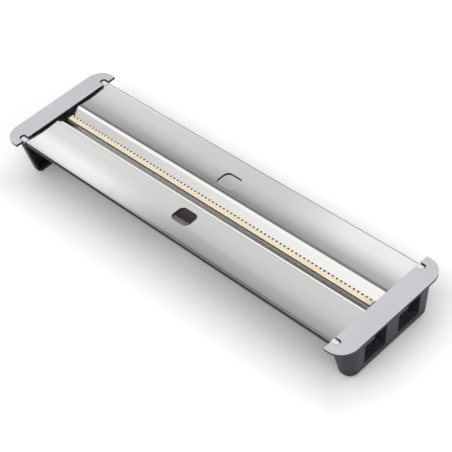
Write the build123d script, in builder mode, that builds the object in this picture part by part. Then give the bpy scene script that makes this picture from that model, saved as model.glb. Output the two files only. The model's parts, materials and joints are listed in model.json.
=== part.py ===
from build123d import *
import os
from math import hypot, radians, tan

# Drop-in holder for two film or foil rolls.
# X runs along the rolls, Y across them, Z up from the surface that the caps stand on.

# Whole holder
overall_length = 360.0
overall_width = 102.6
overall_height = 38.5
fit_clearance = 0.1
cut_overrun = 1.0
edge_tolerance = 0.01
half_turn = 180.0

# Flange at each end: a pale cover plate on the dark cap's own skirt
flange_reach = 17.6
flange_corner_radius = 13.8
plate_thickness = 0.5
plate_edge_radius = 0.4
skirt_thickness = 2.0
skirt_setback = 0.1
peg_diameter = 3.4
peg_length = 7.0
peg_spread = 33.0
peg_setback = 7.5
boss_diameter = 7.2
boss_floor = 1.6

# Tub of the end cap, open towards the rolls
end_overhang = 2.3
side_overhang = 6.0
tub_draft = 9.0
tub_corner_radius = 12.5
tub_bottom_radius = 5.0
tub_wall = 2.0
tub_floor = 2.2

# Pair of grip pockets in the end wall, each with a short lintel over one end of its mouth
pocket_width = 21.2
mullion_width = 12.6
pocket_sill = 8.5
lintel_drop = 10.5
lintel_length = 8.7
pocket_edge_radius = 0.5

# Hinge line of each lid, in open-topped notches of the flanges
hinge_inset = 9.3
hinge_drop = 3.2
pin_diameter = 5.0
pin_end_gap = 0.3
pin_end_radius = 2.2
running_clearance = 0.08
notch_width = 5.4
notch_depth = 5.9
notch_corner_radius = 2.2
saddle_wall = 1.5

# Steel lids: hem at the hinge side, dished flat, fold and crease, and a lip that slopes to the cutter
lid_sheet = 0.8
lid_end_gap = 0.7
lid_recess = 1.8
hem_reach = 2.4
hem_height = 2.7
hem_bend_radius = 0.9
dish_depth = 1.1
dish_bend_share = 0.85
fold_spread = 11.0
fold_fall = 0.55
fold_bend_radius = 1.0
crease_spread = 8.8
crease_drop = 1.15
crease_bend_radius = 2.5
lip_spread = 2.9
lip_drop = 3.9
finger_hole_length = 18.0
finger_hole_width = 14.0
finger_hole_radius = 4.5
finger_hole_spread = 22.9
finger_hole_collar = 1.5

# Nylon lugs bonded under the sheet at the lid's corners, behind the hem
lug_length = 14.0
lug_width = 5.0
lug_height = 2.1
lug_edge_chamfer = 0.5
lug_stand_out = 0.6

# Hollow rail between the caps, with a neck that carries the cutter
rail_width = 12.4
rail_wall = 1.5
rail_lift = 2.5
rail_edge_radius = 0.3
neck_width = 3.2
spigot_length = 22.0

# Cutter strip with its saw edge towards the rear
strip_width = 4.9
strip_thickness = 0.4
strip_recess = 5.0
strip_end_gap = 3.8
rib_width = 1.2
rib_depth = 1.8
tooth_pitch = 3.8
tooth_depth = 1.4
tooth_gap_share = 0.52
tooth_root_share = 0.38

# Rubber rest pads under the lips, which leave a slit for the film
pad_length = 20.0
pad_width = 1.6
pad_thickness = 0.6
pad_setback = 26.0
lip_rest_gap = 0.1

# Screws that hold the rail on the caps' spigots
screw_diameter = 3.0
screw_length = 8.0
screw_head_diameter = 5.4
screw_head_height = 1.6
screw_recess_length = 3.2
screw_recess_width = 0.8
screw_recess_depth = 0.9
screw_setback = 5.0
screw_spacing = 8.0
screw_play = 0.05

# Places that follow from the sizes above
half_length = overall_length / 2
half_width = overall_width / 2
rim_x = half_length - flange_reach
skirt_top = overall_height - plate_thickness
tub_top = skirt_top - skirt_thickness
tub_half_length = flange_reach - end_overhang
tub_half_width = half_width - side_overhang
draft_slope = tan(radians(tub_draft))
hinge_y = half_width - hinge_inset
hinge_z = overall_height - hinge_drop
pin_radius = pin_diameter / 2
groove_radius = pin_radius + running_clearance
notch_end_x = rim_x + notch_depth
lid_top = overall_height - lid_recess
lid_half_length = rim_x - lid_end_gap
hem_y = hinge_y + hem_reach
rail_half_width = rail_width / 2
lip_run = crease_spread - lip_spread
lip_lean = lip_run / hypot(lip_run, lip_drop - crease_drop)
lip_edge_z = lid_top - lip_drop - lid_sheet * lip_lean
shoulder_z = lip_edge_z - lip_rest_gap - pad_thickness
strip_underside = overall_height - strip_recess - strip_thickness
strip_half_length = rim_x - strip_end_gap
pocket_block_half_width = mullion_width / 2 + pocket_width + tub_wall
screw_places = [rim_x - screw_setback, rim_x - screw_setback - screw_spacing]


def end_wall_x(height, inset):
    """X of the drafted end wall, inset from its outer face, at a height."""
    return half_length - end_overhang - inset - (tub_top - height) * draft_slope


def on_pocket_mouth(edge):
    """Whether an edge of the cap runs along a pocket's mouth, in the end wall's outer face."""
    middle = edge.center()
    in_face = abs(middle.X - end_wall_x(middle.Z, 0)) < edge_tolerance
    in_width = abs(middle.Y) < pocket_block_half_width
    return in_face and in_width and pocket_sill - edge_tolerance < middle.Z < tub_top - edge_tolerance


def hinge_sides():
    """The two hinge lines, front and rear."""
    return (-hinge_y, hinge_y)


os.makedirs("parts", exist_ok=True)

# Drafted tub forms: the outside, and the hollow that leaves its wall and floor
rim_plane = Plane(origin=(rim_x, 0, tub_top), x_dir=(1, 0, 0), z_dir=(0, 0, -1))

with BuildPart() as tub_outside:
    with BuildSketch(rim_plane):
        RectangleRounded(2 * tub_half_length, 2 * tub_half_width, tub_corner_radius)
    extrude(amount=tub_top, taper=tub_draft)
    fillet(tub_outside.faces().sort_by(Axis.Z)[0].edges(), tub_bottom_radius)

with BuildPart() as tub_hollow:
    with BuildSketch(rim_plane):
        RectangleRounded(
            2 * (tub_half_length - tub_wall),
            2 * (tub_half_width - tub_wall),
            tub_corner_radius - tub_wall,
        )
    extrude(amount=tub_top - tub_floor, taper=tub_draft)
    fillet(tub_hollow.faces().sort_by(Axis.Z)[0].edges(), tub_bottom_radius - tub_wall)

# Flange outline: square at the rim, rounded at the outer corners, a notch at each hinge
with BuildSketch() as flange_outline:
    with BuildLine():
        FilletPolyline(
            (rim_x, half_width),
            (half_length, half_width),
            (half_length, -half_width),
            (rim_x, -half_width),
            radius=flange_corner_radius,
        )
        Line((rim_x, -half_width), (rim_x, half_width))
    make_face()
    for side_y in hinge_sides():
        with Locations((rim_x, side_y)):
            RectangleRounded(2 * notch_depth, notch_width, notch_corner_radius, mode=Mode.SUBTRACT)

with BuildSketch() as skirt_bounds:
    with Locations((rim_x, 0)):
        RectangleRounded(
            2 * (flange_reach - skirt_setback),
            2 * (half_width - skirt_setback),
            flange_corner_radius - skirt_setback,
        )

# End cap at the right: tub, skirt, grip pockets, hinge saddles, peg bosses and rail spigot
with BuildPart() as cap_moulding:
    add(tub_outside.part)
    with BuildSketch(Plane.XY.offset(tub_top)):
        add(flange_outline.sketch)
        add(skirt_bounds.sketch, mode=Mode.INTERSECT)
    extrude(amount=skirt_thickness)
    add(tub_hollow.part, mode=Mode.SUBTRACT)
    with BuildSketch(rim_plane):
        RectangleRounded(
            2 * (tub_half_length - tub_wall),
            2 * (tub_half_width - tub_wall),
            tub_corner_radius - tub_wall,
        )
    extrude(amount=-skirt_thickness, mode=Mode.SUBTRACT)
    split(bisect_by=Plane(origin=(rim_x, 0, 0), z_dir=(1, 0, 0)), keep=Keep.TOP)
    # Block between the end wall and the rim, cut from outside by the two pockets
    block_base = pocket_sill - tub_wall
    with BuildSketch(Plane.XZ.offset(-pocket_block_half_width)):
        with BuildLine():
            Polyline(
                (rim_x, block_base),
                (end_wall_x(block_base, tub_wall / 2), block_base),
                (end_wall_x(tub_top, tub_wall / 2), tub_top),
                (end_wall_x(tub_top, tub_wall / 2), skirt_top),
                (rim_x, skirt_top),
                close=True,
            )
        make_face()
    extrude(amount=2 * pocket_block_half_width)
    lintel_z = overall_height - lintel_drop
    with BuildSketch(Plane.YZ.offset(rim_x + tub_wall)):
        for near_y in (mullion_width / 2, -mullion_width / 2 - pocket_width):
            with BuildLine():
                Polyline(
                    (near_y, pocket_sill),
                    (near_y + pocket_width, pocket_sill),
                    (near_y + pocket_width, tub_top),
                    (near_y + lintel_length, tub_top),
                    (near_y + lintel_length, lintel_z),
                    (near_y, lintel_z),
                    close=True,
                )
            make_face()
    extrude(amount=flange_reach, mode=Mode.SUBTRACT)
    fillet(cap_moulding.edges().filter_by(on_pocket_mouth), pocket_edge_radius)
    # Saddles that carry the hinge pins from below
    for side_y in hinge_sides():
        saddle_inner = abs(side_y) - groove_radius - saddle_wall
        saddle_outer = tub_half_width - tub_wall
        with BuildSketch(Plane.YZ.offset(rim_x)):
            saddle_base = hinge_z - groove_radius - saddle_wall
            saddle_y = (saddle_inner + saddle_outer) / 2 * (1 if side_y > 0 else -1)
            with Locations((saddle_y, (saddle_base + tub_top) / 2)):
                Rectangle(saddle_outer - saddle_inner, tub_top - saddle_base)
        extrude(amount=notch_depth + saddle_wall)
        with BuildSketch(Plane.YZ.offset(rim_x - cut_overrun)):
            with Locations((side_y, hinge_z)):
                Circle(groove_radius)
            with Locations((side_y, (hinge_z + skirt_top) / 2)):
                Rectangle(2 * groove_radius, skirt_top - hinge_z)
        extrude(amount=notch_depth + cut_overrun, mode=Mode.SUBTRACT)
    # Bosses that take the cover plate's pegs
    with BuildSketch(Plane.XY.offset(skirt_top - peg_length - boss_floor)):
        with Locations((half_length - peg_setback, -peg_spread), (half_length - peg_setback, peg_spread)):
            Circle(boss_diameter / 2)
    extrude(amount=peg_length + boss_floor)
    with BuildSketch(Plane.XY.offset(skirt_top)):
        with Locations((half_length - peg_setback, -peg_spread), (half_length - peg_setback, peg_spread)):
            Circle(peg_diameter / 2 + running_clearance)
    extrude(amount=-peg_length - fit_clearance, mode=Mode.SUBTRACT)
    # Spigot inside the rail's hollow, drilled for the screws
    hollow_base = rail_lift + rail_wall + fit_clearance
    hollow_top = shoulder_z - rail_wall - fit_clearance
    with BuildSketch(Plane.YZ.offset(rim_x)):
        with Locations((0, (hollow_base + hollow_top) / 2)):
            Rectangle(rail_width - 2 * rail_wall - 2 * fit_clearance, hollow_top - hollow_base)
    extrude(amount=-spigot_length)
    with BuildSketch(Plane.XY.offset(hollow_base)):
        with Locations(*[(place_x, 0) for place_x in screw_places]):
            Circle(screw_diameter / 2 + screw_play)
    extrude(amount=screw_length, mode=Mode.SUBTRACT)

# Cover plate at the right: notched flange with a rounded top edge and two pegs
with BuildPart() as plate_moulding:
    with BuildSketch(Plane.XY.offset(skirt_top)):
        add(flange_outline.sketch)
    extrude(amount=plate_thickness)
    fillet(plate_moulding.faces().sort_by(Axis.Z)[-1].edges(), plate_edge_radius)
    with BuildSketch(Plane.XY.offset(skirt_top)):
        with Locations((half_length - peg_setback, -peg_spread), (half_length - peg_setback, peg_spread)):
            Circle(peg_diameter / 2)
    extrude(amount=-peg_length)

# The left end is the same pair of mouldings, turned round
for end_name, turn in (("right", 0), ("left", half_turn)):
    with BuildPart() as end_cap:
        add(cap_moulding.part.rotate(Axis.Z, turn))
    end_cap.part.label = f"end_cap_{end_name}"
    export_step(end_cap.part, f"parts/end_cap_{end_name}.step")
    with BuildPart() as flange_plate:
        add(plate_moulding.part.rotate(Axis.Z, turn))
    flange_plate.part.label = f"flange_plate_{end_name}"
    export_step(flange_plate.part, f"parts/flange_plate_{end_name}.step")

# Rail: a hollow box section with a slotted neck along its top
rail_height = shoulder_z - rail_lift
with BuildPart() as cutter_rail:
    with BuildSketch(Plane.YZ.offset(-rim_x)):
        with Locations((0, rail_lift + rail_height / 2)):
            RectangleRounded(rail_width, rail_height, rail_edge_radius)
        with Locations((0, (shoulder_z - rail_wall + strip_underside) / 2)):
            Rectangle(neck_width, strip_underside - shoulder_z + rail_wall)
        with Locations((0, rail_lift + rail_height / 2)):
            Rectangle(rail_width - 2 * rail_wall, rail_height - 2 * rail_wall, mode=Mode.SUBTRACT)
        with Locations((0, strip_underside - rib_depth / 2)):
            Rectangle(rib_width + 2 * running_clearance, rib_depth + 2 * running_clearance, mode=Mode.SUBTRACT)
    extrude(amount=2 * rim_x)
    with BuildSketch(Plane.XY.offset(rail_lift)):
        for end_sign in (-1, 1):
            with Locations(*[(end_sign * place_x, 0) for place_x in screw_places]):
                Circle(screw_diameter / 2 + fit_clearance)
    extrude(amount=rail_wall, mode=Mode.SUBTRACT)
cutter_rail.part.label = "cutter_rail"
export_step(cutter_rail.part, "parts/cutter_rail.step")

# Cutter strip: flat bar on a rib, with a saw edge
tooth_count = int(2 * strip_half_length // tooth_pitch)
tooth_gap = tooth_pitch * tooth_gap_share
tooth_root = tooth_pitch * tooth_root_share
with BuildPart() as cutter_strip:
    with BuildSketch(Plane.XY.offset(strip_underside)):
        Rectangle(2 * strip_half_length, strip_width)
        with Locations((0, strip_width / 2)):
            with GridLocations(tooth_pitch, 0, tooth_count, 1):
                Polygon(
                    (-tooth_gap / 2, cut_overrun),
                    (-tooth_gap / 2, 0),
                    (-tooth_root / 2, -tooth_depth),
                    (tooth_root / 2, -tooth_depth),
                    (tooth_gap / 2, 0),
                    (tooth_gap / 2, cut_overrun),
                    mode=Mode.SUBTRACT,
                )
    extrude(amount=strip_thickness)
    with BuildSketch(Plane.XY.offset(strip_underside)):
        Rectangle(2 * strip_half_length, rib_width)
    extrude(amount=-rib_depth)
cutter_strip.part.label = "cutter_strip"
export_step(cutter_strip.part, "parts/cutter_strip.step")

# Lid blank at the rear: hem, dished flat, fold, crease and lip in one bent sheet
lid_middle_y = (hem_y + fold_spread) / 2
lid_middle_z = lid_top - fold_fall / 2 - dish_depth
dish_half_span = hem_y - lid_middle_y
dish_radius = dish_bend_share * hypot(dish_half_span, dish_depth) * dish_half_span / dish_depth
collar_top = lid_middle_z + dish_bend_share * dish_depth / 2 - lid_sheet / 2
with BuildPart() as lid_blank:
    with BuildSketch(Plane.YZ.offset(-lid_half_length)):
        with BuildLine():
            FilletPolyline(
                (hem_y, lid_top - hem_height),
                (hem_y, lid_top),
                (lid_middle_y, lid_middle_z),
                (fold_spread, lid_top - fold_fall),
                (crease_spread, lid_top - crease_drop),
                (lip_spread, lid_top - lip_drop),
                radius=[hem_bend_radius, dish_radius, fold_bend_radius, crease_bend_radius],
            )
            offset(amount=lid_sheet, side=Side.LEFT)
        make_face()
    extrude(amount=2 * lid_half_length)
    # Finger hole with a turned-down edge
    with BuildSketch(Plane.XY.offset(collar_top)):
        with Locations((0, finger_hole_spread)):
            RectangleRounded(
                finger_hole_length + 2 * lid_sheet,
                finger_hole_width + 2 * lid_sheet,
                finger_hole_radius + lid_sheet,
            )
    extrude(amount=-finger_hole_collar)
    with BuildSketch(Plane.XY.offset(lid_top + cut_overrun)):
        with Locations((0, finger_hole_spread)):
            RectangleRounded(finger_hole_length, finger_hole_width, finger_hole_radius)
    extrude(amount=-(lid_top - collar_top + finger_hole_collar + 2 * cut_overrun), mode=Mode.SUBTRACT)

# The front lid is the same sheet, turned round
for lid_name, turn in (("rear_lid", 0), ("front_lid", half_turn)):
    with BuildPart() as lid:
        add(lid_blank.part.rotate(Axis.Z, turn))
    lid.part.label = lid_name
    export_step(lid.part, f"parts/{lid_name}.step")

# Hinge lug at the rear right: a foot under the sheet and the hinge pin at its end
lug_outer = hem_y - lid_sheet - fit_clearance
lug_inner = lug_outer - lug_width
dish_slope = (lid_top - lid_middle_z) / dish_half_span
lug_top = lid_top - lid_sheet - dish_slope * (hem_y - lug_inner) - fit_clearance
with BuildPart() as lug_blank:
    with BuildSketch(Plane.YZ.offset(lid_half_length - lug_length)):
        with Locations(((lug_inner + lug_outer) / 2, lug_top - lug_height / 2)):
            Rectangle(lug_width, lug_height)
    extrude(amount=lug_length + lug_stand_out)
    chamfer(lug_blank.edges().filter_by(Axis.Z).group_by(Axis.X)[0], lug_edge_chamfer)
    with BuildSketch(Plane.YZ.offset(lid_half_length + fit_clearance)):
        with Locations((hinge_y, hinge_z)):
            Circle(pin_radius)
    extrude(amount=notch_end_x - pin_end_gap - lid_half_length - fit_clearance)
    fillet(lug_blank.faces().sort_by(Axis.X)[-1].edges(), pin_end_radius)

with BuildPart() as lug_mirrored:
    mirror(lug_blank.part, about=Plane.YZ)

for lug_name, hand, turn in (
    ("rear_right_lug", lug_blank, 0),
    ("rear_left_lug", lug_mirrored, 0),
    ("front_left_lug", lug_blank, half_turn),
    ("front_right_lug", lug_mirrored, half_turn),
):
    with BuildPart() as lug:
        add(hand.part.rotate(Axis.Z, turn))
    lug.part.label = lug_name
    export_step(lug.part, f"parts/{lug_name}.step")

# Rest pads on the rail's shoulders, under the ends of the lips
pad_x = half_length - pad_setback - pad_length / 2
pad_y = lip_spread + lid_sheet / 2
for pad_name, place in (
    ("rear_right_pad", (pad_x, pad_y)),
    ("rear_left_pad", (-pad_x, pad_y)),
    ("front_left_pad", (-pad_x, -pad_y)),
    ("front_right_pad", (pad_x, -pad_y)),
):
    with BuildPart() as pad:
        with BuildSketch(Plane.XY.offset(shoulder_z)):
            with Locations(place):
                SlotOverall(pad_length, pad_width)
        extrude(amount=pad_thickness)
    pad.part.label = pad_name
    export_step(pad.part, f"parts/{pad_name}.step")

# Pan-head screws up through the rail into the spigots, a pair at each end
outer_screw_x, inner_screw_x = screw_places
for screw_name, screw_x in (
    ("rail_screw_right_outer", outer_screw_x),
    ("rail_screw_right_inner", inner_screw_x),
    ("rail_screw_left_inner", -inner_screw_x),
    ("rail_screw_left_outer", -outer_screw_x),
):
    with BuildPart() as rail_screw:
        with BuildSketch(Plane.XY.offset(rail_lift)):
            with Locations((screw_x, 0)):
                Circle(screw_head_diameter / 2)
        extrude(amount=-screw_head_height)
        with BuildSketch(Plane.XY.offset(rail_lift)):
            with Locations((screw_x, 0)):
                Circle(screw_diameter / 2)
        extrude(amount=screw_length)
        with BuildSketch(Plane.XY.offset(rail_lift - screw_head_height)):
            with Locations((screw_x, 0)):
                Rectangle(screw_recess_length, screw_recess_width)
                Rectangle(screw_recess_width, screw_recess_length)
        extrude(amount=screw_recess_depth, mode=Mode.SUBTRACT)
    rail_screw.part.label = screw_name
    export_step(rail_screw.part, f"parts/{screw_name}.step")
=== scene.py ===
import json
import math

import bpy
from mathutils import Matrix, Vector

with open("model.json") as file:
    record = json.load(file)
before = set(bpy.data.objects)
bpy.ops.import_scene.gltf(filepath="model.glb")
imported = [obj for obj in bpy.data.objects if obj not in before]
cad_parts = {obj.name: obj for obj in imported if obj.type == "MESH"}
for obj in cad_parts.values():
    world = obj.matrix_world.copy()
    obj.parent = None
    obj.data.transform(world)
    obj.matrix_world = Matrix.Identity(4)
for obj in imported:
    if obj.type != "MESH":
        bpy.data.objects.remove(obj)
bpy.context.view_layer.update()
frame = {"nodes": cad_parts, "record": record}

nodes = frame["nodes"]

# Picture of the holder from the front right, as in the photograph
CAMERA_PLACE = (0.5873, -0.4212, 0.7075)
CAMERA_RIGHT = (0.6921, 0.7079, -0.1408)
CAMERA_UP = (-0.4335, 0.5636, 0.7032)
CAMERA_BACK = (0.5772, -0.4257, 0.6969)
CAMERA_LENS = 108.46
CAMERA_SENSOR = 36.0
CAMERA_NEAR = 0.05

# X of the caps' rims, where the mouldings are trimmed, and how far past it the painted shade on the rim's
# face is full and fades out
RIM_X = 0.1624
RIM_SHADE_FULL = 0.0001
RIM_SHADE_FADE = 0.0003
# Distance from the middle at which a lid's flat bends down into its hem, where painted shade starts on the
# bend, and the width over which it sets in
HEM_BEND_Y = 0.0435
HEM_BEND_FADE = 0.0002
# Heights between which painted shade darkens the caps towards their feet
FOOT_LOW = 0.003
FOOT_HIGH = 0.011

# Floor just under the caps, with a glow that begins and is full at these distances from the middle; the
# glow is left out under the holder, which paints shadow on the floor there
FLOOR_SIZE = 8.0
FLOOR_DROP = 0.0002
FLOOR_WHITE = (0.92, 0.92, 0.92, 1.0)
FLOOR_GLOW = 0.2
GLOW_Y = (0.04, 0.09)
GLOW_X = (0.15, 0.21)

# Studio levels by angle, in degrees from the rear horizon over the top to the front one
FLAGGED_LEVELS = [
    (0, 0.36), (18, 0.36), (23, 1.2), (31, 1.25), (36, 0.25), (42, 0.0), (50.9, 0.0), (52.3, 0.40),
    (54, 0.58), (56, 0.70), (58, 0.78), (60, 0.825), (64, 0.86), (72, 0.90), (80, 1.25), (104, 1.25),
    (116, 1.15), (130, 1.0), (145, 0.5), (180, 0.3),
]
CLEAR_LEVELS = [
    (0, 0.45), (25, 0.70), (45, 0.80), (60, 0.85), (80, 0.92), (116, 0.92), (130, 0.85), (145, 0.5),
    (180, 0.3),
]
HALF_TURN = 180
# X of the directions over which the flagged sector gives way to the clear one, on its right and its left
CLEAR_RIGHT_X = (-0.42, -0.22)
CLEAR_LEFT_X = (-0.76, -0.88)
# Light lost towards the left on the front half of the arc, and towards the right at its low rear end:
# X where the loss begins and is full, shares of the arc where it begins and is full, and the loss
LEFT_LOSS_X = (-0.50, -0.70)
LEFT_LOSS_ARC = (0.52, 0.62)
LEFT_LOSS = 0.42
REAR_LOSS_X = (-0.68, -0.50)
REAR_LOSS_ARC = (0.11, 0.085)
REAR_LOSS = 0.6

WHITE = (1.0, 1.0, 1.0, 1.0)
# Sockets of a Mix node that blends colours
MIX_FIRST, MIX_SECOND, MIX_RESULT = 6, 7, 2


# Node-tree helpers

def add_node(tree, kind, x, y, **settings):
    node = tree.nodes.new(kind)
    node.location = (x, y)
    for name, value in settings.items():
        setattr(node, name, value)
    return node


def new_group(name, inputs, outputs):
    """Shader group with named float or vector inputs and float outputs."""
    group = bpy.data.node_groups.new(name, "ShaderNodeTree")
    for label, kind, value in inputs:
        socket = group.interface.new_socket(label, in_out="INPUT", socket_type=kind)
        if value is not None:
            socket.default_value = value
    for label in outputs:
        group.interface.new_socket(label, in_out="OUTPUT", socket_type="NodeSocketFloat")
    return group, add_node(group, "NodeGroupInput", -800, 0), add_node(group, "NodeGroupOutput", 700, 0)


def noise(tree, x, y, vector, scale, detail=3.0, rough=0.55):
    texture = add_node(tree, "ShaderNodeTexNoise", x, y)
    texture.inputs["Detail"].default_value = detail
    texture.inputs["Roughness"].default_value = rough
    tree.links.new(vector, texture.inputs["Vector"])
    if isinstance(scale, float):
        texture.inputs["Scale"].default_value = scale
    else:
        tree.links.new(scale, texture.inputs["Scale"])
    return texture.outputs["Fac"]


def remap(tree, x, y, value, low, high, to_low=0.0, to_high=1.0, smooth=False):
    node = add_node(tree, "ShaderNodeMapRange", x, y)
    node.interpolation_type = "SMOOTHSTEP" if smooth else "LINEAR"
    tree.links.new(value, node.inputs["Value"])
    for label, number in (("From Min", low), ("From Max", high), ("To Min", to_low), ("To Max", to_high)):
        node.inputs[label].default_value = number
    return node.outputs["Result"]


def spread(tree, x, y, mask, low, high):
    """A mask from 0 to 1 as a value from low to high."""
    return remap(tree, x, y, mask, 0, 1, low, high)


def calculate(tree, x, y, operation, *values):
    node = add_node(tree, "ShaderNodeMath", x, y, operation=operation)
    for socket, value in zip(node.inputs, values):
        if isinstance(value, (int, float)):
            socket.default_value = value
        else:
            tree.links.new(value, socket)
    return node.outputs[0]


# Effects that several finishes share

def make_drawn_lines():
    """Fine lines along X, as brushing or a drawing die leaves them."""
    group, given, made = new_group(
        "drawn_lines",
        [
            ("Vector", "NodeSocketVector", None),
            ("Along", "NodeSocketFloat", 6.0),
            ("Across", "NodeSocketFloat", 2600.0),
        ],
        ["Lines", "Streaks"],
    )
    stretch = add_node(group, "ShaderNodeCombineXYZ", -600, -150)
    group.links.new(given.outputs["Along"], stretch.inputs["X"])
    group.links.new(given.outputs["Across"], stretch.inputs["Y"])
    group.links.new(given.outputs["Across"], stretch.inputs["Z"])
    stretched = add_node(group, "ShaderNodeVectorMath", -400, 0, operation="MULTIPLY")
    group.links.new(given.outputs["Vector"], stretched.inputs[0])
    group.links.new(stretch.outputs[0], stretched.inputs[1])
    fine = noise(group, -200, 100, stretched.outputs[0], 1.0, detail=4.0, rough=0.7)
    broad = noise(group, -200, -150, stretched.outputs[0], 0.12, detail=2.0)
    group.links.new(remap(group, 100, 100, fine, 0.3, 0.7), made.inputs["Lines"])
    group.links.new(remap(group, 100, -150, broad, 0.35, 0.65), made.inputs["Streaks"])
    return group


def make_moulded_grain():
    """Spark-eroded mould texture, with the soft patches of a large moulding."""
    group, given, made = new_group(
        "moulded_grain",
        [
            ("Vector", "NodeSocketVector", None),
            ("Grain", "NodeSocketFloat", 2600.0),
            ("Patch", "NodeSocketFloat", 38.0),
        ],
        ["Height", "Tone"],
    )
    cells = add_node(group, "ShaderNodeTexVoronoi", -400, 200, feature="SMOOTH_F1")
    group.links.new(given.outputs["Vector"], cells.inputs["Vector"])
    group.links.new(given.outputs["Grain"], cells.inputs["Scale"])
    speckle = noise(group, -400, -50, given.outputs["Vector"], given.outputs["Grain"], detail=2.0)
    pits = calculate(group, -100, 100, "MULTIPLY", cells.outputs["Distance"], speckle)
    group.links.new(remap(group, 150, 100, pits, 0.05, 0.45), made.inputs["Height"])
    patch = noise(group, -400, -300, given.outputs["Vector"], given.outputs["Patch"], detail=3.0)
    group.links.new(remap(group, 150, -200, patch, 0.3, 0.7), made.inputs["Tone"])
    return group


def make_handling_marks():
    """Faint smears and rubs from hands, as a mask from 0 to 1."""
    group, given, made = new_group(
        "handling_marks",
        [("Vector", "NodeSocketVector", None), ("Size", "NodeSocketFloat", 30.0)],
        ["Smear"],
    )
    broad = noise(group, -400, 150, given.outputs["Vector"], given.outputs["Size"], detail=2.0)
    finer = calculate(group, -600, -250, "MULTIPLY", given.outputs["Size"], 6.0)
    small = noise(group, -400, -150, given.outputs["Vector"], finer, detail=5.0, rough=0.65)
    mask = calculate(
        group,
        150,
        0,
        "MULTIPLY",
        remap(group, -100, 150, broad, 0.45, 0.7, smooth=True),
        remap(group, -100, -150, small, 0.35, 0.7),
    )
    group.links.new(mask, made.inputs["Smear"])
    return group


def make_upward_dust():
    """Thin dust on faces that look up, as a mask from 0 to 1."""
    group, given, made = new_group(
        "upward_dust",
        [("Vector", "NodeSocketVector", None), ("Normal", "NodeSocketVector", None)],
        ["Dust"],
    )
    split = add_node(group, "ShaderNodeSeparateXYZ", -500, 150)
    group.links.new(given.outputs["Normal"], split.inputs[0])
    upward = remap(group, -250, 150, split.outputs["Z"], 0.3, 0.95, smooth=True)
    specks = noise(group, -500, -150, given.outputs["Vector"], 420.0, detail=6.0, rough=0.7)
    group.links.new(
        calculate(group, 150, 0, "MULTIPLY", upward, remap(group, -250, -150, specks, 0.45, 0.75)),
        made.inputs["Dust"],
    )
    return group


def make_edge_wear():
    """Rubbing along edges, broken up by fine scuffs, as a mask from 0 to 1."""
    group, given, made = new_group(
        "edge_wear",
        [("Vector", "NodeSocketVector", None), ("Radius", "NodeSocketFloat", 0.0008)],
        ["Wear"],
    )
    rounded = add_node(group, "ShaderNodeBevel", -600, 200, samples=6)
    group.links.new(given.outputs["Radius"], rounded.inputs["Radius"])
    surface = add_node(group, "ShaderNodeNewGeometry", -600, -50)
    alike = add_node(group, "ShaderNodeVectorMath", -400, 150, operation="DOT_PRODUCT")
    group.links.new(rounded.outputs["Normal"], alike.inputs[0])
    group.links.new(surface.outputs["Normal"], alike.inputs[1])
    scuffs = noise(group, -400, -250, given.outputs["Vector"], 700.0, detail=5.0, rough=0.7)
    wear = calculate(
        group,
        150,
        0,
        "MULTIPLY",
        remap(group, -150, 150, alike.outputs["Value"], 0.99, 0.86),
        remap(group, -150, -200, scuffs, 0.3, 0.65, 0.3, 1.0),
    )
    group.links.new(wear, made.inputs["Wear"])
    return group


drawn_lines = make_drawn_lines()
moulded_grain = make_moulded_grain()
handling_marks = make_handling_marks()
upward_dust = make_upward_dust()
edge_wear = make_edge_wear()


# Finishes

def new_finish(name):
    """Material with a Principled shader; returns it with its tree, shader and coordinates."""
    finish = bpy.data.materials.new(name)
    finish.use_nodes = True
    tree = finish.node_tree
    shader = tree.nodes["Principled BSDF"]
    shader.location = (900, 0)
    tree.nodes["Material Output"].location = (1200, 0)
    place = add_node(tree, "ShaderNodeTexCoord", -1100, 0)
    return finish, tree, shader, place


def use_group(tree, group, x, y, place, **values):
    """Outputs of a shared effect, fed with the piece's own coordinates."""
    node = add_node(tree, "ShaderNodeGroup", x, y, node_tree=group)
    tree.links.new(place.outputs["Object"], node.inputs["Vector"])
    if "Normal" in node.inputs:
        tree.links.new(place.outputs["Normal"], node.inputs["Normal"])
    for label, value in values.items():
        node.inputs[label].default_value = value
    return node.outputs


def blend_colours(tree, x, y, share, first, second):
    """Mix of two colours, each given as a tuple or a socket."""
    node = add_node(tree, "ShaderNodeMix", x, y, data_type="RGBA")
    tree.links.new(share, node.inputs["Factor"])
    for socket, value in ((node.inputs[MIX_FIRST], first), (node.inputs[MIX_SECOND], second)):
        if isinstance(value, tuple):
            socket.default_value = (*value, 1.0)
        else:
            tree.links.new(value, socket)
    return node.outputs[MIX_RESULT]


def raise_surface(tree, shader, height, strength, depth, rounding=None):
    """Bump from a height, over edges that look rounded by a small radius where one is given."""
    bump = add_node(tree, "ShaderNodeBump", 650, -300)
    if rounding is not None:
        edge = add_node(tree, "ShaderNodeBevel", 400, -450, samples=6)
        edge.inputs["Radius"].default_value = rounding
        tree.links.new(edge.outputs["Normal"], bump.inputs["Normal"])
    bump.inputs["Strength"].default_value = strength
    bump.inputs["Distance"].default_value = depth
    tree.links.new(height, bump.inputs["Height"])
    tree.links.new(bump.outputs["Normal"], shader.inputs["Normal"])


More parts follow.
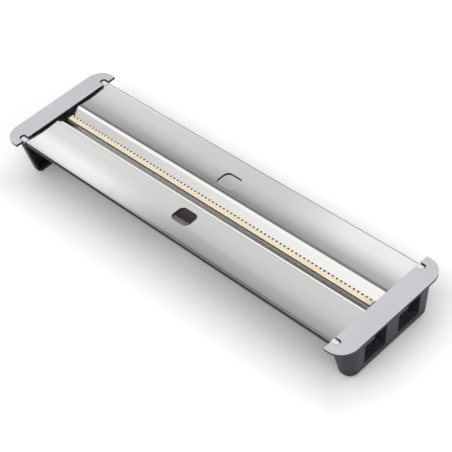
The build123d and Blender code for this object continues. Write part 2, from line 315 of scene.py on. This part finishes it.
def make_lid_steel():
    """Satin steel, brushed along the lid; dark on the cut edges, and painted shade on the hem's upright
    face and on its bend.
    """
    finish, tree, shader, place = new_finish("lid_satin_steel")
    shader.inputs["Metallic"].default_value = 1.0
    brushing = use_group(tree, drawn_lines, -800, 200, place, Along=9.0, Across=3200.0)
    marks = use_group(tree, handling_marks, -800, -100, place, Size=26.0)
    # Steep faces darken: the cut edges' own dull tone, and painted shade on the hem's upright face
    split = add_node(tree, "ShaderNodeSeparateXYZ", -800, -350)
    tree.links.new(place.outputs["Normal"], split.inputs[0])
    upright = calculate(tree, -600, -350, "ABSOLUTE", split.outputs["Z"])
    steep_face_edge_and_shade = remap(tree, -400, -350, upright, 0.75, 0.2, smooth=True)
    # Painted shade on the hem's bend, set by distance from the middle, which hides the bend's highlight
    spot = add_node(tree, "ShaderNodeSeparateXYZ", -800, -600)
    tree.links.new(place.outputs["Object"], spot.inputs[0])
    from_middle = calculate(tree, -600, -600, "ABSOLUTE", spot.outputs["Y"])
    hem_bend_painted_shade = remap(tree, -400, -600, from_middle, HEM_BEND_Y, HEM_BEND_Y + HEM_BEND_FADE, smooth=True)
    raw_edge_and_painted_shade = calculate(tree, -200, -450, "MAXIMUM", steep_face_edge_and_shade, hem_bend_painted_shade)
    sheet = blend_colours(tree, -200, 250, brushing["Lines"], (0.725, 0.72, 0.71), (0.755, 0.75, 0.74))
    streaks = spread(tree, -200, 450, brushing["Streaks"], 0, 0.12)
    streaked = blend_colours(tree, 50, 250, streaks, sheet, (0.69, 0.685, 0.675))
    # Dark raw edges, and painted shade on the hem
    edged = blend_colours(tree, 300, 250, raw_edge_and_painted_shade, streaked, (0.05, 0.05, 0.052))
    tree.links.new(edged, shader.inputs["Base Color"])
    satin = spread(tree, -200, 0, brushing["Lines"], 0.11, 0.14)
    rubbed = calculate(tree, 50, 0, "MULTIPLY_ADD", marks["Smear"], 0.03, satin)
    rough = calculate(tree, 300, 0, "MULTIPLY_ADD", raw_edge_and_painted_shade, 0.3, rubbed)
    tree.links.new(rough, shader.inputs["Roughness"])
    raise_surface(tree, shader, brushing["Lines"], strength=0.03, depth=0.00002)
    return finish


def make_plate_plastic():
    """Pale lavender-grey satin moulding."""
    finish, tree, shader, place = new_finish("plate_pale_plastic")
    grain = use_group(tree, moulded_grain, -800, 200, place, Grain=2400.0, Patch=30.0)
    marks = use_group(tree, handling_marks, -800, -100, place, Size=34.0)
    tone = blend_colours(tree, -300, 250, grain["Tone"], (0.580, 0.569, 0.606), (0.614, 0.602, 0.640))
    smears = spread(tree, -300, 50, marks["Smear"], 0, 0.35)
    rubbed = blend_colours(tree, 0, 250, smears, tone, (0.55, 0.54, 0.572))
    wear = use_group(tree, edge_wear, -800, -350, place, Radius=0.0007)
    worn = spread(tree, 0, -350, wear["Wear"], 0, 0.6)
    edged = blend_colours(tree, 250, 250, worn, rubbed, (0.72, 0.71, 0.73))
    tree.links.new(edged, shader.inputs["Base Color"])
    tree.links.new(spread(tree, -300, -150, marks["Smear"], 0.30, 0.40), shader.inputs["Roughness"])
    raise_surface(tree, shader, grain["Height"], strength=0.12, depth=0.00004)
    return finish


def make_cap_plastic():
    """Dark slate moulding, spark-eroded; lighter on its ledges, partly dust and partly painted light;
    painted shade at its trimmed rim and towards the bottom; edges lighter partly from wear and partly as a
    painted highlight.
    """
    finish, tree, shader, place = new_finish("cap_slate_plastic")
    grain = use_group(tree, moulded_grain, -800, 250, place, Grain=2000.0, Patch=24.0)
    marks = use_group(tree, handling_marks, -800, -50, place, Size=40.0)
    dust = use_group(tree, upward_dust, -800, -300, place)
    tone = blend_colours(tree, -300, 250, grain["Tone"], (0.032, 0.0306, 0.0430), (0.040, 0.0383, 0.0530))
    smears = spread(tree, -300, 50, marks["Smear"], 0, 0.4)
    rubbed = blend_colours(tree, -50, 250, smears, tone, (0.044, 0.043, 0.052))
    # Faces that look up are lighter, partly real dust and partly painted light on the ledges and the tub's
    # inner floor
    settled = spread(tree, -300, -300, dust["Dust"], 0, 0.5)
    dusted = blend_colours(tree, 200, 250, settled, rubbed, (0.20, 0.195, 0.19))
    wear = use_group(tree, edge_wear, -800, -550, place, Radius=0.0009)
    split = add_node(tree, "ShaderNodeSeparateXYZ", -800, -800)
    tree.links.new(place.outputs["Object"], split.inputs[0])
    from_middle = calculate(tree, -600, -800, "ABSOLUTE", split.outputs["X"])
    # Painted shade: the faces at the trimmed rim, in the gap beside the lids, go near-black
    rim_painted_shade = remap(tree, -400, -800, from_middle, RIM_X + RIM_SHADE_FADE, RIM_X + RIM_SHADE_FULL)
    rim_shaded = blend_colours(tree, 350, 0, rim_painted_shade, dusted, (0.010, 0.010, 0.012))
    # Painted shade, darker towards the bottom
    foot_painted_shade = remap(tree, -400, -1050, split.outputs["Z"], FOOT_HIGH, FOOT_LOW, 0.0, 0.75, smooth=True)
    foot_shaded = blend_colours(tree, 400, -150, foot_painted_shade, rim_shaded, (0.010, 0.010, 0.011))
    # Edges lighter, partly from wear and partly as a painted highlight along the rims
    worn = spread(tree, 200, -450, wear["Wear"], 0, 0.6)
    edged = blend_colours(tree, 450, 250, worn, foot_shaded, (0.24, 0.235, 0.26))
    tree.links.new(edged, shader.inputs["Base Color"])
    shader.inputs["Specular IOR Level"].default_value = 0.15
    tree.links.new(spread(tree, -50, -100, grain["Tone"], 0.36, 0.44), shader.inputs["Roughness"])
    raise_surface(tree, shader, grain["Height"], strength=0.2, depth=0.00006, rounding=0.0005)
    return finish


def make_rail_plastic():
    """Dark extrusion with fine die lines."""
    finish, tree, shader, place = new_finish("rail_dark_plastic")
    lines = use_group(tree, drawn_lines, -800, 200, place, Along=3.0, Across=1400.0)
    dust = use_group(tree, upward_dust, -800, -200, place)
    tone = blend_colours(tree, -300, 250, lines["Streaks"], (0.052, 0.040, 0.035), (0.068, 0.052, 0.045))
    settled = spread(tree, -300, -200, dust["Dust"], 0, 0.2)
    dusted = blend_colours(tree, 0, 250, settled, tone, (0.11, 0.092, 0.078))
    tree.links.new(dusted, shader.inputs["Base Color"])
    tree.links.new(spread(tree, -300, 0, lines["Lines"], 0.38, 0.5), shader.inputs["Roughness"])
    raise_surface(tree, shader, lines["Lines"], strength=0.15, depth=0.00005, rounding=0.0003)
    return finish


def make_strip_plastic():
    """Cream cutter plastic, a little yellower in patches."""
    finish, tree, shader, place = new_finish("strip_cream_plastic")
    grain = use_group(tree, moulded_grain, -800, 200, place, Grain=2800.0, Patch=60.0)
    marks = use_group(tree, handling_marks, -800, -100, place, Size=70.0)
    tone = blend_colours(tree, -300, 250, grain["Tone"], (0.87, 0.755, 0.566), (0.905, 0.808, 0.638))
    smears = spread(tree, -300, 0, marks["Smear"], 0, 0.3)
    worn = blend_colours(tree, 0, 250, smears, tone, (0.80, 0.66, 0.46))
    tree.links.new(worn, shader.inputs["Base Color"])
    shader.inputs["Subsurface Weight"].default_value = 0.15
    shader.inputs["Subsurface Radius"].default_value = (0.0012, 0.0009, 0.0006)
    tree.links.new(spread(tree, -300, -200, grain["Tone"], 0.32, 0.42), shader.inputs["Roughness"])
    raise_surface(tree, shader, grain["Height"], strength=0.08, depth=0.00003, rounding=0.00015)
    return finish


def make_lug_nylon():
    """White nylon with a soft, slightly translucent surface."""
    finish, tree, shader, place = new_finish("lug_white_nylon")
    grain = use_group(tree, moulded_grain, -800, 200, place, Grain=3200.0, Patch=120.0)
    tone = blend_colours(tree, -300, 250, grain["Tone"], (0.78, 0.78, 0.80), (0.86, 0.86, 0.875))
    tree.links.new(tone, shader.inputs["Base Color"])
    shader.inputs["Subsurface Weight"].default_value = 0.2
    shader.inputs["Subsurface Radius"].default_value = (0.0012, 0.0012, 0.0012)
    tree.links.new(spread(tree, -300, -100, grain["Tone"], 0.3, 0.4), shader.inputs["Roughness"])
    raise_surface(tree, shader, grain["Height"], strength=0.06, depth=0.00003, rounding=0.0003)
    return finish


def make_pad_rubber():
    """Black rubber, matt and a little dusty."""
    finish, tree, shader, place = new_finish("pad_black_rubber")
    grain = use_group(tree, moulded_grain, -800, 200, place, Grain=3600.0, Patch=200.0)
    dust = use_group(tree, upward_dust, -800, -200, place)
    tone = blend_colours(tree, -300, 250, grain["Tone"], (0.020, 0.020, 0.021), (0.032, 0.032, 0.033))
    settled = spread(tree, -300, -200, dust["Dust"], 0, 0.3)
    dusted = blend_colours(tree, 0, 250, settled, tone, (0.13, 0.125, 0.12))
    tree.links.new(dusted, shader.inputs["Base Color"])
    tree.links.new(spread(tree, -300, 0, grain["Tone"], 0.7, 0.85), shader.inputs["Roughness"])
    raise_surface(tree, shader, grain["Height"], strength=0.3, depth=0.00005)
    return finish


def make_screw_steel():
    """Zinc-plated steel, dulled in patches."""
    finish, tree, shader, place = new_finish("screw_zinc_steel")
    shader.inputs["Metallic"].default_value = 1.0
    marks = use_group(tree, handling_marks, -800, 200, place, Size=220.0)
    tone = blend_colours(tree, -300, 250, marks["Smear"], (0.60, 0.60, 0.61), (0.42, 0.42, 0.41))
    tree.links.new(tone, shader.inputs["Base Color"])
    tree.links.new(spread(tree, -300, 0, marks["Smear"], 0.25, 0.5), shader.inputs["Roughness"])
    raise_surface(tree, shader, marks["Smear"], strength=0.05, depth=0.00003)
    return finish


finishes = {
    "lid_steel": make_lid_steel(),
    "plate_plastic": make_plate_plastic(),
    "cap_plastic": make_cap_plastic(),
    "rail_plastic": make_rail_plastic(),
    "strip_plastic": make_strip_plastic(),
    "lug_nylon": make_lug_nylon(),
    "pad_rubber": make_pad_rubber(),
    "screw_steel": make_screw_steel(),
}
for subpart in frame["record"]["subparts"]:
    nodes[subpart["node"]].material_slots[0].material = finishes[subpart["material_slot"]]


# Stage: white floor that keeps a soft shadow, darkened under the holder by painted shadow, and is clear
# from below

def make_floor_white():
    """Matt white with a glow that only the camera, gloss and glass see, left out under the holder as
    painted shadow, clear from behind.
    """
    finish = bpy.data.materials.new("floor_white")
    finish.use_nodes = True
    tree = finish.node_tree
    tree.nodes.clear()
    output = add_node(tree, "ShaderNodeOutputMaterial", 600, 0)
    matt = add_node(tree, "ShaderNodeBsdfDiffuse", 0, 100)
    matt.inputs["Color"].default_value = FLOOR_WHITE
    glow = add_node(tree, "ShaderNodeEmission", 0, -100)
    glow.inputs["Color"].default_value = WHITE
    path = add_node(tree, "ShaderNodeLightPath", -700, -150)
    direct, mirrored = path.outputs["Is Camera Ray"], path.outputs["Is Glossy Ray"]
    seen = calculate(tree, -450, -100, "MAXIMUM", direct, mirrored)
    seen = calculate(tree, -250, -100, "MAXIMUM", seen, path.outputs["Is Transmission Ray"])
    place = add_node(tree, "ShaderNodeTexCoord", -900, -450)
    split = add_node(tree, "ShaderNodeSeparateXYZ", -700, -450)
    tree.links.new(place.outputs["Object"], split.inputs[0])
    across = calculate(tree, -500, -450, "ABSOLUTE", split.outputs["Y"])
    along = calculate(tree, -500, -700, "ABSOLUTE", split.outputs["X"])
    aside = remap(tree, -300, -450, across, *GLOW_Y, smooth=True)
    beyond = remap(tree, -300, -700, along, *GLOW_X, smooth=True)
    # Painted shadow: the glow fades out towards the middle, so the floor under the holder stays darker
    glow_outside_painted_shadow = calculate(tree, -100, -500, "MAXIMUM", aside, beyond)
    level = calculate(tree, 50, -400, "MULTIPLY", glow_outside_painted_shadow, FLOOR_GLOW)
    tree.links.new(calculate(tree, -100, -250, "MULTIPLY", seen, level), glow.inputs["Strength"])
    both = add_node(tree, "ShaderNodeAddShader", 300, 0)
    tree.links.new(matt.outputs[0], both.inputs[0])
    tree.links.new(glow.outputs[0], both.inputs[1])
    below = add_node(tree, "ShaderNodeNewGeometry", 150, 350)
    clear = add_node(tree, "ShaderNodeBsdfTransparent", 300, -200)
    one_sided = add_node(tree, "ShaderNodeMixShader", 450, 0)
    tree.links.new(below.outputs["Backfacing"], one_sided.inputs[0])
    tree.links.new(both.outputs[0], one_sided.inputs[1])
    tree.links.new(clear.outputs[0], one_sided.inputs[2])
    tree.links.new(one_sided.outputs[0], output.inputs["Surface"])
    return finish


bpy.ops.object.select_all(action="DESELECT")
bpy.ops.mesh.primitive_plane_add(size=FLOOR_SIZE, location=(0, 0, -FLOOR_DROP))
floor = bpy.context.object
floor.name = "floor"
floor.data.materials.append(make_floor_white())


# Studio: soft light along the holder, in the world, with a sector at the left that has a dark flag

def level_ramp(tree, x, y, share, stops):
    """Greys over the arc from one horizon to the other, from stops in degrees and levels."""
    ramp = add_node(tree, "ShaderNodeValToRGB", x, y)
    elements = ramp.color_ramp.elements
    for degrees, level in stops[1:-1]:
        elements.new(degrees / HALF_TURN).color = (level, level, level, 1.0)
    for element, (degrees, level) in ((elements[0], stops[0]), (elements[-1], stops[-1])):
        element.position = degrees / HALF_TURN
        element.color = (level, level, level, 1.0)
    tree.links.new(share, ramp.inputs["Fac"])
    return ramp.outputs["Color"]


def make_studio_world():
    """Light by direction, and plain white where the camera sees past the floor."""
    world = bpy.data.worlds.new("studio")
    world.use_nodes = True
    tree = world.node_tree
    background = tree.nodes["Background"]
    place = add_node(tree, "ShaderNodeTexCoord", -1000, 0)
    split = add_node(tree, "ShaderNodeSeparateXYZ", -800, 0)
    tree.links.new(place.outputs["Generated"], split.inputs[0])
    angle = calculate(tree, -600, 0, "ARCTAN2", split.outputs["Z"], split.outputs["Y"])
    share = remap(tree, -400, 0, angle, 0.0, math.pi)
    flagged = level_ramp(tree, -200, 300, share, FLAGGED_LEVELS)
    clear = level_ramp(tree, -200, 50, share, CLEAR_LEVELS)
    right_of_flag = remap(tree, -400, 250, split.outputs["X"], *CLEAR_RIGHT_X, smooth=True)
    left_of_flag = remap(tree, -400, 500, split.outputs["X"], *CLEAR_LEFT_X, smooth=True)
    unflagged = calculate(tree, -200, 550, "MAXIMUM", right_of_flag, left_of_flag)
    tree.links.new(blend_colours(tree, 100, 200, unflagged, flagged, clear), background.inputs["Color"])
    leftward = remap(tree, -400, -250, split.outputs["X"], *LEFT_LOSS_X, 0.0, LEFT_LOSS, smooth=True)
    front_half = remap(tree, -400, -500, share, *LEFT_LOSS_ARC, smooth=True)
    left_loss = calculate(tree, -200, -350, "MULTIPLY", leftward, front_half)
    rightward = remap(tree, -400, -750, split.outputs["X"], *REAR_LOSS_X, 0.0, REAR_LOSS, smooth=True)
    low_rear = remap(tree, -400, -1000, share, *REAR_LOSS_ARC, smooth=True)
    rear_loss = calculate(tree, -200, -850, "MULTIPLY", rightward, low_rear)
    kept = calculate(tree, 0, -350, "SUBTRACT", 1.0, left_loss)
    tree.links.new(calculate(tree, 0, -600, "SUBTRACT", kept, rear_loss), background.inputs["Strength"])
    backdrop = add_node(tree, "ShaderNodeBackground", 300, -300)
    backdrop.inputs["Color"].default_value = WHITE
    path = add_node(tree, "ShaderNodeLightPath", 300, 300)
    shown = add_node(tree, "ShaderNodeMixShader", 550, 0)
    tree.links.new(path.outputs["Is Camera Ray"], shown.inputs[0])
    tree.links.new(background.outputs[0], shown.inputs[1])
    tree.links.new(backdrop.outputs[0], shown.inputs[2])
    tree.links.new(shown.outputs[0], tree.nodes["World Output"].inputs["Surface"])
    bpy.context.scene.world = world


make_studio_world()


def add_softbox(name, place, turn, size, level, feather):
    """Soft-edged panel of a full level; feather gives the shares that fade: each end, low and high side."""
    light = bpy.data.lights.new(name, "AREA")
    light.shape = "RECTANGLE"
    light.size, light.size_y = size
    light.energy = level * math.pi * size[0] * size[1]
    light.use_nodes = True
    tree = light.node_tree
    surface = add_node(tree, "ShaderNodeNewGeometry", -900, 0)
    split = add_node(tree, "ShaderNodeSeparateXYZ", -700, 0)
    tree.links.new(surface.outputs["Parametric"], split.inputs[0])
    fade = None
    end_share, low_side_share, high_side_share = feather
    for axis, y, low_share, high_share in (
        ("X", 150, end_share, end_share),
        ("Y", -150, low_side_share, high_side_share),
    ):
        rising = remap(tree, -450, y + 60, split.outputs[axis], 0.0, low_share, smooth=True)
        falling = remap(tree, -450, y - 60, split.outputs[axis], 1.0, 1.0 - high_share, smooth=True)
        both = calculate(tree, -250, y, "MULTIPLY", rising, falling)
        fade = both if fade is None else calculate(tree, -100, 0, "MULTIPLY", fade, both)
    tree.links.new(fade, tree.nodes["Emission"].inputs["Strength"])
    lamp = bpy.data.objects.new(name, light)
    bpy.context.scene.collection.objects.link(lamp)
    lamp.location = place
    lamp.rotation_euler = turn
    lamp.visible_camera = False
    return lamp


def facing(place, aim):
    """Turn of a lamp at a place that looks at an aim."""
    return (Vector(aim) - Vector(place)).to_track_quat("-Z", "Y").to_euler()


front_place = (0.25, -1.0, 1.35)
add_softbox(
    "front_softbox",
    place=front_place,
    turn=facing(front_place, (0, 0, 0)),
    size=(1.6, 0.9),
    level=2.0,
    feather=(0.3, 0.3, 0.3),
)
right_place = (1.25, -0.3, 0.7)
add_softbox(
    "right_softbox",
    place=right_place,
    turn=facing(right_place, (0, 0, 0.02)),
    size=(0.9, 0.7),
    level=3.2,
    feather=(0.3, 0.3, 0.3),
)
# Panels lying flat that only gloss picks up: on the front lid's left half, and on the rear lid's right end
left_reflector = add_softbox(
    "left_reflector",
    place=(-0.3575, 0.113, 0.24),
    turn=(0, 0, 0),
    size=(0.385, 0.052),
    level=1.05,
    feather=(0.44, 0.66, 0.28),
)
right_reflector = add_softbox(
    "right_reflector",
    place=(0.01, 0.147, 0.24),
    turn=(0, 0, 0),
    size=(0.26, 0.044),
    level=0.46,
    feather=(0.43, 0.30, 0.66),
)
for panel in (left_reflector, right_reflector):
    panel.visible_diffuse = False


# Camera

camera_data = bpy.data.cameras.new("camera")
camera_data.lens = CAMERA_LENS
camera_data.sensor_width = CAMERA_SENSOR
camera_data.clip_start = CAMERA_NEAR
camera = bpy.data.objects.new("camera", camera_data)
bpy.context.scene.collection.objects.link(camera)
camera.matrix_world = Matrix((
    *zip(CAMERA_RIGHT, CAMERA_UP, CAMERA_BACK, CAMERA_PLACE),
    (0, 0, 0, 1),
))
bpy.context.scene.camera = camera
bpy.context.scene.view_settings.view_transform = "Standard"
